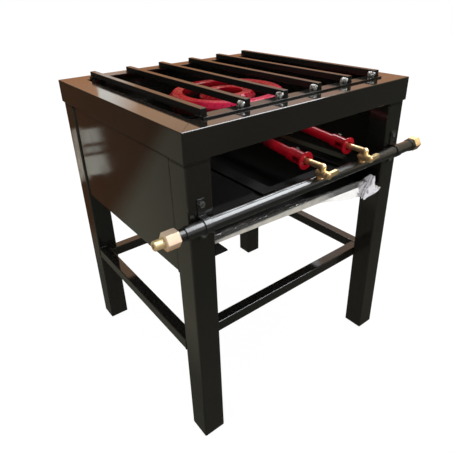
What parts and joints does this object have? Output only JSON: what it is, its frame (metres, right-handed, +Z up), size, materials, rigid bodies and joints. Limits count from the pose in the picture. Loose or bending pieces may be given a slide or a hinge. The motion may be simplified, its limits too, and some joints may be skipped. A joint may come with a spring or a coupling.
{
  "type": "gas stove stand",
  "caption": "Square steel stand with a lift-off bar grate over a two-ring gas burner, a front gas pipe with lever valves, air shutters and a slide-out drip tray.",
  "frame": {"origin": "on the floor, in the middle of the four legs", "axes": "+X to the right, +Y from the front with the gas pipe to the back, +Z up"},
  "size_m": [0.714, 0.5893, 0.7059],
  "materials": {
    "black_enamel": "glossy black enamel",
    "grate_black": "glossy black enamel",
    "pipe_black": "glossy black paint",
    "brass": "machined brass",
    "burner_red": "red paint over cast iron",
    "zinc_screw": "zinc plated",
    "clear_film": "clear packing film"
  },
  "bodies": {
    "stand": {"back_panel": "black_enamel", "burner_cross_bar_front": "black_enamel", "burner_cross_bar_rear": "black_enamel", "burner_inner_ring": "burner_red", "burner_outer_ring": "burner_red", "burner_support_left": "black_enamel", "burner_support_right": "black_enamel", "clamp_screws": "zinc_screw", "end_collar": "pipe_black", "end_plug": "brass", "gas_inlet": "brass", "gas_jets": "brass", "gas_pipe": "pipe_black", "inlet_nipple": "pipe_black", "leg_foot_plates": "black_enamel", "leg_front_left": "black_enamel", "leg_front_right": "black_enamel", "leg_rear_left": "black_enamel", "leg_rear_right": "black_enamel", "pipe_clamp_left": "pipe_black", "pipe_clamp_right": "pipe_black", "side_panel_left": "black_enamel", "side_panel_right": "black_enamel", "stretcher_front": "black_enamel", "stretcher_left": "black_enamel", "stretcher_rear": "black_enamel", "stretcher_right": "black_enamel", "top_rail_front": "black_enamel", "top_rail_left": "black_enamel", "top_rail_rear": "black_enamel", "top_rail_right": "black_enamel", "tray_runner_left": "black_enamel", "tray_runner_right": "black_enamel", "union_nut": "brass", "valve_body_inner": "brass", "valve_body_outer": "brass"},
    "valve_inner": {"valve_plug_inner": "brass", "valve_lever_inner": "brass", "valve_tail_nut_inner": "brass"},
    "valve_outer": {"valve_plug_outer": "brass", "valve_lever_outer": "brass", "valve_tail_nut_outer": "brass"},
    "shutter_inner": {"air_shutter_inner": "burner_red", "shutter_lock_screw_inner": "zinc_screw"},
    "shutter_outer": {"air_shutter_outer": "burner_red", "shutter_lock_screw_outer": "zinc_screw"},
    "tray": {"drip_tray": "black_enamel", "tray_film": "clear_film"},
    "grate": {"grate_bar_1": "grate_black", "grate_bar_2": "grate_black", "grate_bar_3": "grate_black", "grate_bar_4": "grate_black", "grate_bar_5": "grate_black", "grate_bar_6": "grate_black", "grate_flat_front": "grate_black", "grate_flat_rear": "grate_black"}
  },
  "joints": [
    {"name": "inner_valve_turn", "type": "hinge", "parent": "stand", "child": "valve_inner", "pos_m": [0, -0.29682, 0.55006], "axis": [0, -1, 0], "range_deg": [0, 90]},
    {"name": "outer_valve_turn", "type": "hinge", "parent": "stand", "child": "valve_outer", "pos_m": [0.13, -0.29682, 0.55006], "axis": [0, -1, 0], "range_deg": [0, 90]},
    {"name": "inner_shutter_turn", "type": "hinge", "parent": "stand", "child": "shutter_inner", "pos_m": [0, -0.248, 0.56406], "axis": [0, 0.9962, 0.0872], "range_deg": [-25, 35]},
    {"name": "outer_shutter_turn", "type": "hinge", "parent": "stand", "child": "shutter_outer", "pos_m": [0.13, -0.248, 0.56406], "axis": [0, 0.9962, 0.0872], "range_deg": [-25, 35]},
    {"name": "tray_slide", "type": "slide", "parent": "stand", "child": "tray", "axis": [0, -1, 0], "range_m": [0, 0.38]},
    {"name": "grate_lift", "type": "slide", "parent": "stand", "child": "grate", "axis": [0, 0, 1], "range_m": [0, 0.2]}
  ]
}
